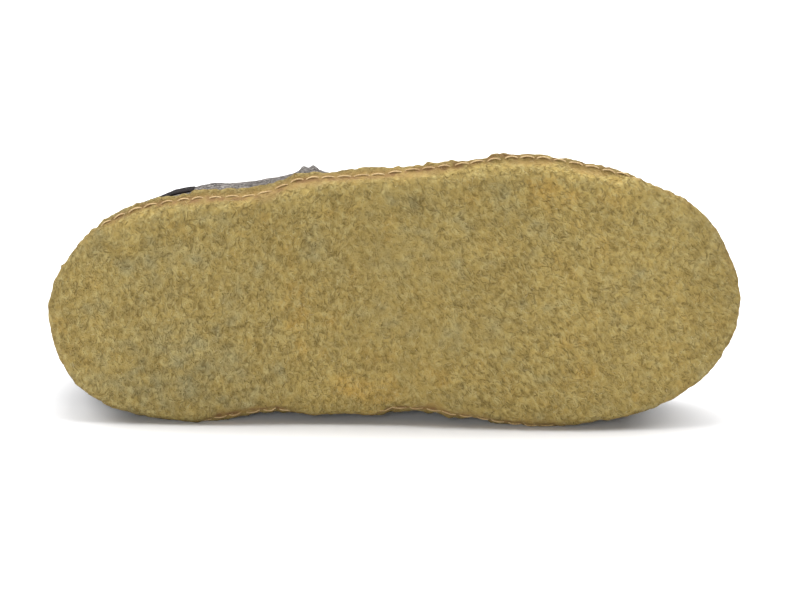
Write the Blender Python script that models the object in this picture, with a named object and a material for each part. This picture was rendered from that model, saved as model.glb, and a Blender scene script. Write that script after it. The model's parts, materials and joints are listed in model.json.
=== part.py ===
"""Felt slipper for the right foot, lying on its inner side with the sole to the front.

The slipper is modelled standing: X runs from the heel to the toe, +Y is the medial (inner) side and Z is up from
the tread. At the end it is laid on its medial side, on the three points that it really rests on. Metres throughout.
"""

import math

import bmesh
import bpy
import numpy as np
from mathutils import Matrix, Vector

# Sole
LENGTH = 0.260
BALL_WIDTH = 0.105
SOLE_THICKNESS = 0.0085
EDGE_WIDTH = 0.0090
TOE_SPRING = 0.0080
CUP_RISE = 0.0030
CUP_SLOPE = 0.0100

# Upper
FELT = 0.0035
SEAM_LIP = 0.0034
INSTEP_HEIGHT = 0.070
HEEL_HEIGHT = 0.062
HEEL_LEAN = 0.006
HEEL_BULGE = 0.0015
COLLAR_TURN_SHARE = 0.31
THROAT_SHARE = 0.50

# Foot of the upper, turned out over the sole's edge and stitched down
FOOT_EDGE_INSET = 0.0013
FOOT_FILLET = 0.0011

# Side seam, where the vamp and the quarter are sewn edge to edge and both edges stand out
SEAM_SHARE = 0.376
SEAM_EDGE = 0.0036
SEAM_RISE = 0.0022
SEAM_NOTCH = 0.0007

# Insole and heel patch
INSOLE_THICKNESS = 0.0040
INSOLE_CLEARANCE = 0.0006
PATCH_THICKNESS = 0.0010
PATCH_LATERAL_SHARE = 0.215
PATCH_MEDIAL_SHARE = 0.110
PATCH_HEIGHT = 0.046
PATCH_FOOT = 0.004
PATCH_END_SHARE = 0.62
PATCH_COLUMNS = 12
PATCH_ROWS = 6

GAP = 0.0003

# Kilograms per cubic metre
DENSITY = {"sole": 450, "upper": 300, "insole": 200, "heel_patch": 300}

MEDIAL, LATERAL = 1, -1
STATIONS = 44
WALL_ROWS = 12
MERGE_DISTANCE = 1e-6

# Sole outline and underside. share: of LENGTH from the heel. lateral, medial: half widths, of BALL_WIDTH.
# lateral_lift, medial_lift: height of the tread above the ground, of TOE_SPRING. lip: 1 where the edge has its side
# profile, with the lip standing out past the tread, and 0 where it has its end profile, with the tread over the lip.
OUTLINE = (
    {"share": 0.000, "lateral": 0.000, "medial": 0.000, "lateral_lift": 0.40, "medial_lift": 0.40, "lip": 0.00},
    {"share": 0.030, "lateral": 0.204, "medial": 0.240, "lateral_lift": 0.18, "medial_lift": 0.18, "lip": 0.35},
    {"share": 0.080, "lateral": 0.332, "medial": 0.328, "lateral_lift": 0.00, "medial_lift": 0.00, "lip": 0.85},
    {"share": 0.160, "lateral": 0.412, "medial": 0.384, "lateral_lift": 0.00, "medial_lift": 0.00, "lip": 1.00},
    {"share": 0.240, "lateral": 0.440, "medial": 0.393, "lateral_lift": 0.00, "medial_lift": 0.00, "lip": 1.00},
    {"share": 0.315, "lateral": 0.453, "medial": 0.376, "lateral_lift": 0.05, "medial_lift": 0.15, "lip": 1.00},
    {"share": 0.360, "lateral": 0.493, "medial": 0.369, "lateral_lift": 0.12, "medial_lift": 0.25, "lip": 1.00},
    {"share": 0.420, "lateral": 0.505, "medial": 0.365, "lateral_lift": 0.15, "medial_lift": 0.30, "lip": 1.00},
    {"share": 0.500, "lateral": 0.518, "medial": 0.367, "lateral_lift": 0.15, "medial_lift": 0.30, "lip": 1.00},
    {"share": 0.600, "lateral": 0.539, "medial": 0.388, "lateral_lift": 0.00, "medial_lift": 0.00, "lip": 1.00},
    {"share": 0.690, "lateral": 0.558, "medial": 0.424, "lateral_lift": 0.00, "medial_lift": 0.00, "lip": 1.00},
    {"share": 0.780, "lateral": 0.526, "medial": 0.409, "lateral_lift": 0.04, "medial_lift": 0.04, "lip": 1.00},
    {"share": 0.860, "lateral": 0.464, "medial": 0.375, "lateral_lift": 0.26, "medial_lift": 0.26, "lip": 0.65},
    {"share": 0.930, "lateral": 0.376, "medial": 0.296, "lateral_lift": 0.58, "medial_lift": 0.58, "lip": 0.15},
    {"share": 0.975, "lateral": 0.250, "medial": 0.196, "lateral_lift": 0.84, "medial_lift": 0.84, "lip": 0.00},
    {"share": 1.000, "lateral": 0.000, "medial": 0.000, "lateral_lift": 1.00, "medial_lift": 1.00, "lip": 0.00},
)

# The sole's edge from the tread up to its upper face, along the sides and round the ends.
# insets: in from the outline, of EDGE_WIDTH. heights: above the tread, of the sole's thickness there.
EDGE = (
    {"side_inset": 1.45, "side_height": 0.000, "end_inset": 1.60, "end_height": 0.000},
    {"side_inset": 1.00, "side_height": 0.020, "end_inset": 1.00, "end_height": 0.045},
    {"side_inset": 0.66, "side_height": 0.090, "end_inset": 0.54, "end_height": 0.165},
    {"side_inset": 0.42, "side_height": 0.250, "end_inset": 0.20, "end_height": 0.385},
    {"side_inset": 0.29, "side_height": 0.440, "end_inset": 0.02, "end_height": 0.620},
    {"side_inset": 0.25, "side_height": 0.550, "end_inset": 0.09, "end_height": 0.720},
    {"side_inset": 0.13, "side_height": 0.600, "end_inset": 0.06, "end_height": 0.760},
    {"side_inset": 0.03, "side_height": 0.700, "end_inset": 0.02, "end_height": 0.820},
    {"side_inset": 0.00, "side_height": 0.820, "end_inset": 0.00, "end_height": 0.890},
    {"side_inset": 0.05, "side_height": 0.940, "end_inset": 0.05, "end_height": 0.950},
)

# Upper sections. ridge: top of the arch above the ground, of INSTEP_HEIGHT (behind the throat it is only a
# guide for the walls). lean: how far the ridge lies to the medial side, of BALL_WIDTH. square: fullness.
SECTIONS = (
    {"share": 0.00, "ridge": 1.360, "lean": 0.000, "square": 2.20},
    {"share": 0.12, "ridge": 1.300, "lean": 0.005, "square": 2.15},
    {"share": 0.20, "ridge": 1.330, "lean": 0.010, "square": 2.35},
    {"share": 0.30, "ridge": 1.280, "lean": 0.020, "square": 2.95},
    {"share": 0.38, "ridge": 1.190, "lean": 0.030, "square": 2.85},
    {"share": 0.50, "ridge": 1.000, "lean": 0.045, "square": 2.30},
    {"share": 0.62, "ridge": 0.885, "lean": 0.055, "square": 2.25},
    {"share": 0.74, "ridge": 0.790, "lean": 0.055, "square": 2.30},
    {"share": 0.84, "ridge": 0.725, "lean": 0.045, "square": 2.40},
    {"share": 0.92, "ridge": 0.650, "lean": 0.030, "square": 2.50},
    {"share": 0.97, "ridge": 0.565, "lean": 0.015, "square": 2.50},
    {"share": 1.00, "ridge": 0.440, "lean": 0.000, "square": 2.40},
)

# Collar edge above the ground, of HEEL_HEIGHT.
COLLAR = (
    {"share": 0.00, "height": 1.00},
    {"share": 0.10, "height": 0.96},
    {"share": 0.24, "height": 0.86},
    {"share": 0.36, "height": 0.86},
    {"share": 0.50, "height": 0.92},
)

COLOURS = {
    "latex_felt": ((0.33, 0.24, 0.085), 0.85),
    "grey_felt": ((0.22, 0.21, 0.20), 0.95),
    "insole_felt": ((0.30, 0.29, 0.27), 0.95),
    "dark_felt": ((0.022, 0.018, 0.020), 0.90),
}


def turn_of(share):
    """Stations are counted in turns from 0 at the heel to 1 at the toe, packed close at the rounded ends."""
    return math.acos(1 - 2 * share) / math.pi


def share_of(turn):
    return (1 - math.cos(math.pi * turn)) / 2


def smooth_curve(table, column):
    """A natural cubic spline through one column of a table, as a function of the turn."""
    at = np.array([turn_of(row["share"]) for row in table])
    values = np.array([row[column] for row in table])
    step = np.diff(at)
    count = len(at)
    matrix, right = np.eye(count), np.zeros(count)
    for i in range(1, count - 1):
        matrix[i, i - 1 : i + 2] = step[i - 1], 2 * (step[i - 1] + step[i]), step[i]
        right[i] = 6 * ((values[i + 1] - values[i]) / step[i] - (values[i] - values[i - 1]) / step[i - 1])
    bend = np.linalg.solve(matrix, right)

    def curve(turn):
        i = int(np.clip(np.searchsorted(at, turn) - 1, 0, count - 2))
        before, after = turn - at[i], at[i + 1] - turn
        cubic = (bend[i] * after**3 + bend[i + 1] * before**3) / (6 * step[i])
        line = (values[i] / step[i] - bend[i] * step[i] / 6) * after
        return float(cubic + line + (values[i + 1] / step[i] - bend[i + 1] * step[i] / 6) * before)

    return curve


def eased_curve(table, column):
    """A curve through one column that never overshoots, so that equal rows stay flat between them."""
    at = [turn_of(row["share"]) for row in table]
    values = [row[column] for row in table]
    slopes = [(values[i + 1] - values[i]) / (at[i + 1] - at[i]) for i in range(len(at) - 1)]
    tangents = [slopes[0]]
    for before, after in zip(slopes, slopes[1:]):
        tangents.append(2 * before * after / (before + after) if before * after > 0 else 0.0)
    tangents.append(slopes[-1])

    def curve(turn):
        i = int(np.clip(np.searchsorted(at, turn) - 1, 0, len(at) - 2))
        span = at[i + 1] - at[i]
        u = (turn - at[i]) / span
        start = values[i] + u * span * tangents[i]
        end = values[i + 1] - (1 - u) * span * tangents[i + 1]
        ease = u * u * (3 - 2 * u)
        return (1 - ease) * start + ease * end

    return curve


HALF_WIDTH = {MEDIAL: smooth_curve(OUTLINE, "medial"), LATERAL: smooth_curve(OUTLINE, "lateral")}
LIP = eased_curve(OUTLINE, "lip")
LIFT = {MEDIAL: eased_curve(OUTLINE, "medial_lift"), LATERAL: eased_curve(OUTLINE, "lateral_lift")}
RIDGE = smooth_curve(SECTIONS, "ridge")
LEAN = smooth_curve(SECTIONS, "lean")
SQUARE = eased_curve(SECTIONS, "square")
COLLAR_HEIGHT = eased_curve(COLLAR, "height")


def outline_point(turn, side):
    return Vector((LENGTH * share_of(turn), side * BALL_WIDTH * HALF_WIDTH[side](turn)))


def inward(turn, side):
    """Unit vector in plan, square to the outline and pointing into the shoe."""
    step = 1e-4
    ahead, behind = min(1.0, turn + step), max(0.0, turn - step)
    along = outline_point(ahead, side) - outline_point(behind, side)
    if turn in (0.0, 1.0):
        along.x = 0.0
    normal = Vector((side * along.y, -side * along.x))
    return normal.normalized()


def plan_point(turn, side, inset):
    return outline_point(turn, side) + inset * inward(turn, side)


def end_weight(turn, side):
    """1 at the tip of the heel and the toe, 0 along the sides."""
    return inward(turn, side).x ** 2


def lift(turn, side):
    return TOE_SPRING * LIFT[side](turn)


def sole_top(turn, side, inset):
    """Height of the sole's upper face, which cups up round the heel and the toe."""
    cup_start = SEAM_LIP + FELT + INSOLE_CLEARANCE
    u = min(1.0, max(0.0, (inset - cup_start) / CUP_SLOPE))
    fall = u * u * (3 - 2 * u)
    return lift(turn, side) + SOLE_THICKNESS + CUP_RISE * end_weight(turn, side) * (1 - fall)


def edge_point(turn, side, row):
    """A point on the sole's edge, between its side profile and its end profile."""
    sides = LIP(turn)
    inset = EDGE_WIDTH * (sides * row["side_inset"] + (1 - sides) * row["end_inset"])
    height = sides * row["side_height"] + (1 - sides) * row["end_height"]
    flat = plan_point(turn, side, inset)
    tread = lift(turn, side)
    return Vector((flat.x, flat.y, tread + height * (sole_top(turn, side, 0.0) - tread)))


def top_point(turn, side, inset, above):
    flat = plan_point(turn, side, inset)
    return Vector((flat.x, flat.y, sole_top(turn, side, inset) + above))


def wall_base(turn, side):
    """Height where the wall of the upper leaves its turned-out foot."""
    return sole_top(turn, side, SEAM_LIP) + GAP + FELT


def heel_shift(turn, height):
    """How far the back of the heel leans forward at this height."""
    fade = max(0.0, 1 - share_of(turn) / 0.25) ** 2
    h = height / HEEL_HEIGHT
    bulge = math.sin(math.pi * min(1.0, h / 0.8)) if h < 0.8 else 0.0
    return fade * (HEEL_LEAN * h**2 - HEEL_BULGE * bulge)


def wall_point(turn, side, angle, out=0.0):
    """A point on the upper's arch. angle: 0 at the foot, a quarter turn at the ridge. out: outside the felt's face."""
    feet = {s: plan_point(turn, s, SEAM_LIP - out) for s in (MEDIAL, LATERAL)}
    middle = (feet[MEDIAL] + feet[LATERAL]) / 2
    reach = feet[side] - middle
    power = 2 / SQUARE(turn)
    across = max(0.0, math.cos(angle)) ** power
    up = math.sin(angle) ** power
    base = wall_base(turn, side)
    height = base + up * (INSTEP_HEIGHT * RIDGE(turn) + out - base)
    y = middle.y + across * reach.y + up**2 * BALL_WIDTH * LEAN(turn)
    return Vector((middle.x + across * reach.x + heel_shift(turn, height - base), y, height))


def angle_at_height(turn, side, height):
    base = wall_base(turn, side)
    up = (height - base) / (INSTEP_HEIGHT * RIDGE(turn) - base)
    return math.asin(min(1.0, max(0.0, up)) ** (SQUARE(turn) / 2))


def collar_angle(turn, side):
    """Where the wall ends: at the collar's height, and then round the front of the opening to the throat."""
    share = share_of(turn)
    if share >= THROAT_SHARE:
        return math.pi / 2
    angle = angle_at_height(turn, side, HEEL_HEIGHT * COLLAR_HEIGHT(turn))
    past = max(0.0, (share - COLLAR_TURN_SHARE) / (THROAT_SHARE - COLLAR_TURN_SHARE))
    return math.acos(math.cos(angle) * (1 - past**2) ** (SQUARE(turn) / 4))


def seam_rise(turn):
    """Height of the side seam over the felt: two cut edges side by side, with a notch between them."""
    along = abs(LENGTH * (share_of(turn) - SEAM_SHARE))
    if along < SEAM_NOTCH:
        return SEAM_RISE * 0.25
    u = min(1.0, max(0.0, (along - 0.7 * SEAM_EDGE) / (0.45 * SEAM_EDGE)))
    return SEAM_RISE * (1 - u * u * (3 - 2 * u))


def upper_stations():
    """Even turns, with a close set across the side seam and at the front of the opening."""
    seam_steps = (0.0, 0.35 * SEAM_NOTCH, 1.6 * SEAM_NOTCH, 0.65 * SEAM_EDGE, 0.9 * SEAM_EDGE, 1.2 * SEAM_EDGE)
    fixed = [turn_of(SEAM_SHARE + sign * step / LENGTH) for step in seam_steps[1:] for sign in (-1, 1)]
    fixed.append(turn_of(SEAM_SHARE))
    throat_steps = (0.0, 0.03, 0.10, 0.22, 0.38, 0.58, 0.80, 0.92)
    span = THROAT_SHARE - COLLAR_TURN_SHARE
    fixed += [turn_of(THROAT_SHARE - step * span) for step in throat_steps]
    spacing = 0.5 / STATIONS
    fixed_sorted = sorted(set(fixed))
    even = [i / STATIONS for i in range(STATIONS + 1)]
    return sorted(fixed_sorted + [t for t in even if all(abs(t - f) > spacing for f in fixed_sorted)])


def new_mesh_object(name, bm, material, collection):
    mesh = bpy.data.meshes.new(name)
    bm.to_mesh(mesh)
    bm.free()
    mesh.shade_smooth()
    mesh.set_sharp_from_angle(angle=math.radians(50))
    mesh.materials.append(material)
    made = bpy.data.objects.new(name, mesh)
    collection.objects.link(made)
    return made


def add_loft(bm, grid, closed_rows=False):
    """Faces between rows of vertices, each row as long as the next."""
    for lower, higher in zip(grid, grid[1:]):
        count = len(lower)
        for i in range(count if closed_rows else count - 1):
            j = (i + 1) % count
            bm.faces.new((lower[i], lower[j], higher[j], higher[i]))


def felt_body(sheets):
    """A closed body from pairs of sheets, an outer and an inner one with as many points, joined along their edges.

    Points that meet, such as those of the medial and the lateral sheet on the ridge, become one.
    """
    bm = bmesh.new()
    known = {}

    def vert_at(point):
        key = tuple(round(c / MERGE_DISTANCE) for c in point)
        if key not in known:
            known[key] = bm.verts.new(point)
        return known[key]

    inner_of = {}
    for outer_rows, inner_rows in sheets:
        outer = [[vert_at(point) for point in row] for row in outer_rows]
        inner = [[vert_at(point) for point in row] for row in inner_rows]
        for outer_row, inner_row in zip(outer, inner):
            inner_of.update(zip(outer_row, inner_row))
        add_loft(bm, outer)
        add_loft(bm, [row[::-1] for row in inner])
    for edge in [edge for edge in bm.edges if edge.is_boundary]:
        start, end = (loop.vert for loop in (edge.link_loops[0], edge.link_loops[0].link_loop_next))
        if start in inner_of and end in inner_of:
            bm.faces.new((end, start, inner_of[start], inner_of[end]))
    return bm


def ring(point_at, turns):
    """A closed loop round the shoe: along the lateral side to the toe and back along the medial side."""
    lateral = [point_at(turn, LATERAL) for turn in turns]
    medial = [point_at(turn, MEDIAL) for turn in reversed(turns[1:-1])]
    return lateral + medial


def fill_across(bm, loop, flipped):
    """Closes a ring of the shoe with faces that run straight from the lateral to the medial side."""
    count = len(loop)
    for i in range(count // 2):
        corners = [loop[i], loop[i + 1], loop[-i - 1], loop[-i]]
        corners = list(dict.fromkeys(corners))
        bm.faces.new(corners[::-1] if flipped else corners)


def slab(rings):
    """A closed body from rings that run from the middle of its underside, round its edge, to the middle of its top."""
    bm = bmesh.new()
    grid = [[bm.verts.new(point) for point in points] for points in rings]
    add_loft(bm, grid, closed_rows=True)
    fill_across(bm, grid[0], flipped=True)
    fill_across(bm, grid[-1], flipped=False)
    return bm


def build_sole(material, collection):
    turns = [i / STATIONS for i in range(STATIONS + 1)]
    rings = [ring(lambda turn, side, row=row: edge_point(turn, side, row), turns) for row in EDGE]
    cup_start = SEAM_LIP + FELT + INSOLE_CLEARANCE
    for inset in (0.2 * EDGE_WIDTH, cup_start, cup_start + CUP_SLOPE / 2, cup_start + CUP_SLOPE):
        rings.append(ring(lambda turn, side, inset=inset: top_point(turn, side, inset, 0.0), turns))
    return new_mesh_object("sole", slab(rings), material, collection)


def build_insole(material, collection):
    turns = [i / STATIONS for i in range(STATIONS + 1)]
    edge = SEAM_LIP + FELT + INSOLE_CLEARANCE
    far = edge + CUP_SLOPE
    corner = 0.25 * INSOLE_THICKNESS
    profile = (
        (far, GAP),
        (edge + CUP_SLOPE / 2, GAP),
        (edge + corner, GAP),
        (edge, GAP + corner),
        (edge, INSOLE_THICKNESS - corner),
        (edge + corner, INSOLE_THICKNESS),
        (edge + CUP_SLOPE / 2, INSOLE_THICKNESS),
        (far, INSOLE_THICKNESS),
    )
    rings = [ring(lambda turn, side, p=p: top_point(turn, side, *p), turns) for p in profile]
    return new_mesh_object("insole", slab(rings), material, collection)


def meridian(turn, side, inner):
    """One row of the upper's outer or inner face, from the edge of its turned-out foot to the collar or the ridge."""
    foot_height = wall_base(turn, side) - (FELT if inner else 0)
    wall_inset = SEAM_LIP + (FELT if inner else 0)
    row = []
    for inset in (FOOT_EDGE_INSET, wall_inset - FOOT_FILLET):
        flat = plan_point(turn, side, inset)
        row.append(Vector((flat.x, flat.y, foot_height)))
    low = angle_at_height(turn, side, wall_base(turn, side) + FOOT_FILLET)
    top = collar_angle(turn, side)
    for i in range(WALL_ROWS + 1):
        rise = seam_rise(turn) * min(1.0, i / 2)
        row.append(wall_point(turn, side, low + (top - low) * i / WALL_ROWS, -FELT if inner else rise))
    return row


def build_upper(material, collection):
    """One hollow piece of felt, open at the collar and underneath."""
    turns = upper_stations()
    sheets = []
    for side in (MEDIAL, LATERAL):
        outer, inner = ([meridian(turn, side, face)[::side] for turn in turns] for face in (False, True))
        sheets.append((outer, inner))
    return new_mesh_object("upper", felt_body(sheets), material, collection)


def build_heel_patch(material, collection):
    """A dark patch round the back of the heel, cut between two forms just larger than the upper."""
    outer, inner = [], []
    for side, end in ((LATERAL, PATCH_LATERAL_SHARE), (MEDIAL, PATCH_MEDIAL_SHARE)):
        turns = [turn_of(end) * i / PATCH_COLUMNS for i in range(PATCH_COLUMNS + 1)]
        for turn in turns[1:] if side == MEDIAL else reversed(turns):
            low = wall_base(turn, side) + PATCH_FOOT
            reach = turn / turns[-1]
            high = low + (PATCH_HEIGHT - low) * (1 - (1 - PATCH_END_SHARE) * reach**3)
            heights = [low + (high - low) * i / PATCH_ROWS for i in range(PATCH_ROWS + 1)]
            angles = [angle_at_height(turn, side, height) for height in heights]
            outer.append([wall_point(turn, side, angle, GAP + PATCH_THICKNESS) for angle in angles])
            inner.append([wall_point(turn, side, angle, GAP) for angle in angles])
    return new_mesh_object("heel_patch", felt_body([(outer, inner)]), material, collection)


def points_and_centre(objects):
    """Every point of the finished pieces, and their centre of mass."""
    graph = bpy.context.evaluated_depsgraph_get()
    points, moment, mass = [], Vector(), 0.0
    for obj in objects:
        evaluated = obj.evaluated_get(graph)
        mesh = evaluated.to_mesh()
        mesh.calc_loop_triangles()
        corners = [evaluated.matrix_world @ v.co for v in mesh.vertices]
        for triangle in mesh.loop_triangles:
            a, b, c = (corners[i] for i in triangle.vertices)
            share = a.dot(b.cross(c)) / 6 * DENSITY[obj.name]
            moment += share * (a + b + c) / 4
            mass += share
        points += corners
        evaluated.to_mesh_clear()
    return points, moment / mass


def lay_on_medial_side(objects, collection):
    """Parents everything to an empty, and turns it so that the shoe rests on three points of its medial side."""
    bpy.context.view_layer.update()
    points, centre = points_and_centre(objects)
    bm = bmesh.new()
    for point in points:
        bm.verts.new(point)
    bmesh.ops.convex_hull(bm, input=bm.verts)
    bm.normal_update()
    best, down = 0.0, Vector((0, 1, 0))
    for face in bm.faces:
        under = centre + face.normal * (face.verts[0].co - centre).dot(face.normal)
        if bmesh.geometry.intersect_face_point(face, under) and face.normal.y > best:
            best, down = face.normal.y, face.normal.copy()
    bm.free()
    up = -down
    forward = Vector((1, 0, 0)) - up * up.x
    forward.normalize()
    turn = Matrix((forward, up.cross(forward), up)).to_4x4()
    turned = [turn @ point for point in points]
    low = [min(p[i] for p in turned) for i in range(3)]
    high = [max(p[i] for p in turned) for i in range(3)]
    shift = Vector((-(low[0] + high[0]) / 2, -(low[1] + high[1]) / 2, -low[2]))
    rest = bpy.data.objects.new("slipper_at_rest", None)
    collection.objects.link(rest)
    rest.matrix_world = Matrix.Translation(shift) @ turn
    for obj in objects:
        obj.parent = rest


def new_material(name):
    colour, roughness = COLOURS[name]
    material = bpy.data.materials.new(name)
    material.use_nodes = True
    shader = material.node_tree.nodes["Principled BSDF"]
    shader.inputs["Base Color"].default_value = (*colour, 1.0)
    shader.inputs["Roughness"].default_value = roughness
    shader.inputs["Metallic"].default_value = 0.0
    return material


def main():
    for obj in list(bpy.data.objects):
        bpy.data.objects.remove(obj, do_unlink=True)
    collection = bpy.data.collections.new("felt_slipper")
    bpy.context.scene.collection.children.link(collection)
    materials = {name: new_material(name) for name in COLOURS}
    pieces = [
        build_sole(materials["latex_felt"], collection),
        build_upper(materials["grey_felt"], collection),
        build_insole(materials["insole_felt"], collection),
        build_heel_patch(materials["dark_felt"], collection),
    ]
    lay_on_medial_side(pieces, collection)


main()
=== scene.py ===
# %% [markdown]
# # A felt slipper, seen from its sole
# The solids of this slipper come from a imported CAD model: a sole, a hollow upper, an insole and a heel patch. They
# have the right sizes but hard, even faces. This lesson dresses them: each solid is copied, given even small faces,
# pushed about like felt and painted with nodes. Thread and loose wool are added as thin tubes.

import json
import math

import bmesh
import bpy
import numpy as np
from mathutils import Matrix, Vector, noise
from mathutils.bvhtree import BVHTree
from mathutils.kdtree import KDTree


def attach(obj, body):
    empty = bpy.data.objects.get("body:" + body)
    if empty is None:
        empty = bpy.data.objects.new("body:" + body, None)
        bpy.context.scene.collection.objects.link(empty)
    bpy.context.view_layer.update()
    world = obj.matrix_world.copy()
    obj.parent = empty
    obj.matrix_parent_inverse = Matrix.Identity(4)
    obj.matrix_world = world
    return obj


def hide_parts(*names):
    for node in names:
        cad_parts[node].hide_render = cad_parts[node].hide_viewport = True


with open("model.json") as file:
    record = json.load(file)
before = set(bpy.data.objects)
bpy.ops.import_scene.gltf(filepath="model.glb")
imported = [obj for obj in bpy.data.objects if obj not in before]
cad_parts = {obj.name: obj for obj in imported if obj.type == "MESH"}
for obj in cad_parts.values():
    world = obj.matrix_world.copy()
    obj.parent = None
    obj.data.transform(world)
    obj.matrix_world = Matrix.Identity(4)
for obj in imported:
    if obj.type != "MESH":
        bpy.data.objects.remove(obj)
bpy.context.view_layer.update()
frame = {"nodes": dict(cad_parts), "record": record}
print("solids:", sorted(frame["nodes"]))

# %% [markdown]
# The slipper lies on its side, which makes it hard to say where anything is. A maker thinks of it standing up: X from
# heel to toe, Y towards the inner side, Z up from the tread. The record of the model holds the direction that the
# tread faces and a point on it, 39 mm from the heel and 2 mm to the outer side, and these two give all three axes.

# %% The shoe's own axes
tread = frame["record"]["mounts"][0]
shoe_up = -Vector(tread["axis"]).normalized()
shoe_forward = Vector((-shoe_up.z, 0, shoe_up.x)).normalized()
shoe_inner = shoe_up.cross(shoe_forward)
heel_end = Vector(tread["pos_m"]) - 0.039 * shoe_forward + 0.002 * shoe_inner
to_world = Matrix((shoe_forward, shoe_inner, shoe_up)).transposed().to_4x4()
to_world.translation = heel_end
to_shoe = to_world.inverted()
print("sole tilted back by", round(math.degrees(math.asin(-shoe_up.z)), 1), "degrees")

# %% [markdown]
# The outline of the sole runs round under everything: the stitches follow it, the lip is torn and lumpy along it, and
# the latex is thin beside it. The maker's numbers are a few half widths along the length. A natural cubic spline
# through them, counted in turns so that points crowd at the round ends, gives a closed loop to measure from.

# %% The sole's outline as a loop
LENGTH = 0.260
BALL_WIDTH = 0.105
TOE_SPRING = 0.0080

# share of the length, half widths on the outer and the inner side (of BALL_WIDTH), rise of the tread (of TOE_SPRING)
SOLE_PLAN = (
    (0.000, 0.000, 0.000, 0.40),
    (0.030, 0.204, 0.240, 0.18),
    (0.080, 0.332, 0.328, 0.00),
    (0.160, 0.412, 0.384, 0.00),
    (0.240, 0.440, 0.393, 0.00),
    (0.315, 0.453, 0.376, 0.10),
    (0.360, 0.493, 0.369, 0.18),
    (0.420, 0.505, 0.365, 0.22),
    (0.500, 0.518, 0.367, 0.22),
    (0.600, 0.539, 0.388, 0.00),
    (0.690, 0.558, 0.424, 0.00),
    (0.780, 0.526, 0.409, 0.04),
    (0.860, 0.464, 0.375, 0.26),
    (0.930, 0.376, 0.296, 0.58),
    (0.975, 0.250, 0.196, 0.84),
    (1.000, 0.000, 0.000, 1.00),
)


def spline_through(at, values, wanted):
    """A natural cubic spline through the values, read at the wanted places."""
    step = np.diff(at)
    matrix, right = np.eye(len(at)), np.zeros(len(at))
    for i in range(1, len(at) - 1):
        matrix[i, i - 1 : i + 2] = step[i - 1], 2 * (step[i - 1] + step[i]), step[i]
        right[i] = 6 * ((values[i + 1] - values[i]) / step[i] - (values[i] - values[i - 1]) / step[i - 1])
    bend = np.linalg.solve(matrix, right)
    i = np.clip(np.searchsorted(at, wanted) - 1, 0, len(at) - 2)
    before, after = wanted - at[i], at[i + 1] - wanted
    cubic = (bend[i] * after**3 + bend[i + 1] * before**3) / (6 * step[i])
    start = (values[i] / step[i] - bend[i] * step[i] / 6) * after
    return cubic + start + (values[i + 1] / step[i] - bend[i + 1] * step[i] / 6) * before


plan = np.array(SOLE_PLAN)
plan_turns = np.arccos(1 - 2 * plan[:, 0]) / math.pi
turns = np.linspace(0, 1, 1001)
loop_x = LENGTH * (1 - np.cos(math.pi * turns)) / 2
outer_side = np.stack([loop_x, -BALL_WIDTH * spline_through(plan_turns, plan[:, 1], turns)], axis=1)
inner_side = np.stack([loop_x, BALL_WIDTH * spline_through(plan_turns, plan[:, 2], turns)], axis=1)
outline = np.concatenate([outer_side, inner_side[-2:0:-1]])
outline_steps = np.linalg.norm(np.roll(outline, -1, axis=0) - outline, axis=1)
outline_along = np.concatenate([[0.0], np.cumsum(outline_steps)])
PERIMETER = outline_along[-1]
print("round the lip:", round(PERIMETER * 1e3, 1), "mm")

# %% [markdown]
# Every later step asks the same thing of a point: how far along the outline is it, how far in from it, and how high
# above the tread? A k-d tree answers for thousands of points at once.

# %% Where a point is on the shoe
outline_tree = KDTree(len(outline))
for index, (x, y) in enumerate(outline):
    outline_tree.insert((x, y, 0.0), index)
outline_tree.balance()
outline_run = np.roll(outline, -1, axis=0) - np.roll(outline, 1, axis=0)
outline_run /= np.linalg.norm(outline_run, axis=1)[:, None]
outline_out = np.stack([outline_run[:, 1], -outline_run[:, 0], 0 * outline_run[:, 0]], axis=1)


def tread_height(x):
    return TOE_SPRING * np.interp(np.asarray(x) / LENGTH, plan[:, 0], plan[:, 3])


def place_on_shoe(points):
    """For points in shoe axes: distance along the outline, in from it, height above the tread, and the way out."""
    nearest = [outline_tree.find((x, y, 0.0))[1] for x, y, _ in points]
    out = outline_out[nearest]
    inset = ((outline[nearest] - points[:, :2]) * out[:, :2]).sum(axis=1)
    return outline_along[nearest], inset, points[:, 2] - tread_height(points[:, 0]), out


def outline_point(along, inset, height):
    """The point that lies so far along the outline, in from it, and above the tread."""
    along = along % PERIMETER
    x = np.interp(along, outline_along, np.append(outline[:, 0], outline[0, 0]))
    y = np.interp(along, outline_along, np.append(outline[:, 1], outline[0, 1]))
    ahead, behind = (along + 5e-4) % PERIMETER, (along - 5e-4) % PERIMETER
    run = outline[np.searchsorted(outline_along[:-1], ahead) % len(outline)]
    run = run - outline[np.searchsorted(outline_along[:-1], behind) % len(outline)]
    run = run / np.linalg.norm(run)
    return Vector((x - run[1] * inset, y + run[0] * inset, tread_height(x) + height))


def soft_step(values, low, high):
    """0 below low, 1 above high, with a soft ramp between."""
    u = np.clip((values - low) / (high - low), 0.0, 1.0)
    return u * u * (3 - 2 * u)


print("a point 3 mm in, 100 mm along:", [round(c * 1e3, 1) for c in outline_point(0.1, 0.003, 0.0)])

# %% [markdown]
# ## Felt from solids
# Felt has no hard edges and no even faces. Three modifiers turn a copy of a solid into a base for it: Subdivision
# Surface rounds the facets, a voxel Remesh lays small even squares over everything, and a light smoothing takes the
# steps out of them. The solid's triangles are joined to quads first, because Subdivision Surface likes those.


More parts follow.
